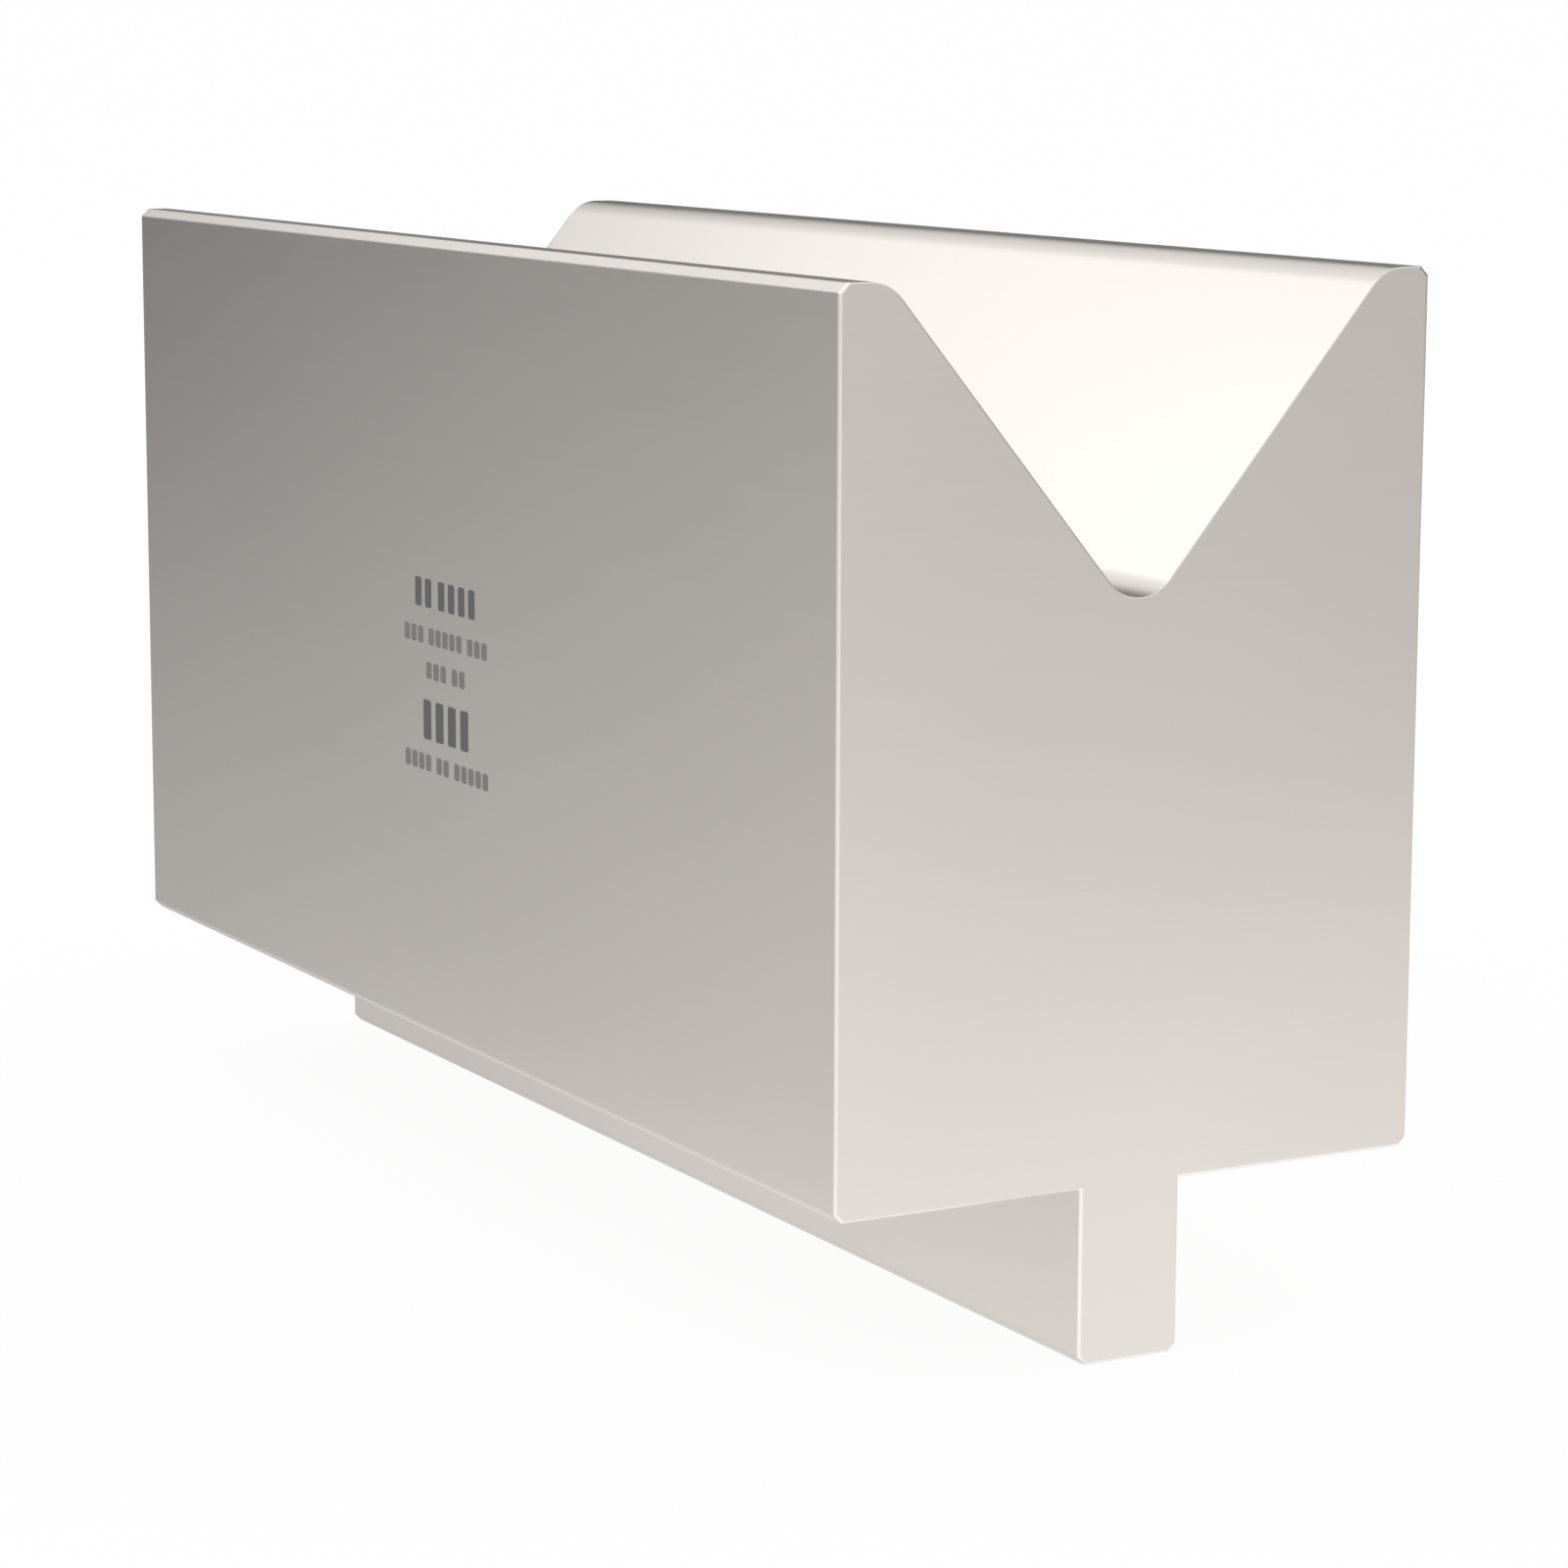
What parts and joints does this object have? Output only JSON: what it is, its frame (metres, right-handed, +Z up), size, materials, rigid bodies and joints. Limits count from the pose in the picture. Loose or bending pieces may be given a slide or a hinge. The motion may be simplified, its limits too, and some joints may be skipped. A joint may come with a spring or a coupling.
{
  "type": "press brake v die",
  "caption": "Ground steel lower die for a press brake: a long block with a radiused V groove along its top and a square tang along its underside that slides into a die holder.",
  "frame": {"origin": "middle of the tang's root, in the seat plane that rests on the die holder, at half the length", "axes": "+Z up through the groove, +Y along the groove, +X across it"},
  "size_m": [0.075, 0.2, 0.12],
  "materials": {
    "ground_steel": "fine ground, satin"
  },
  "bodies": {
    "root": {"v_die": "ground_steel"}
  },
  "joints": []
}
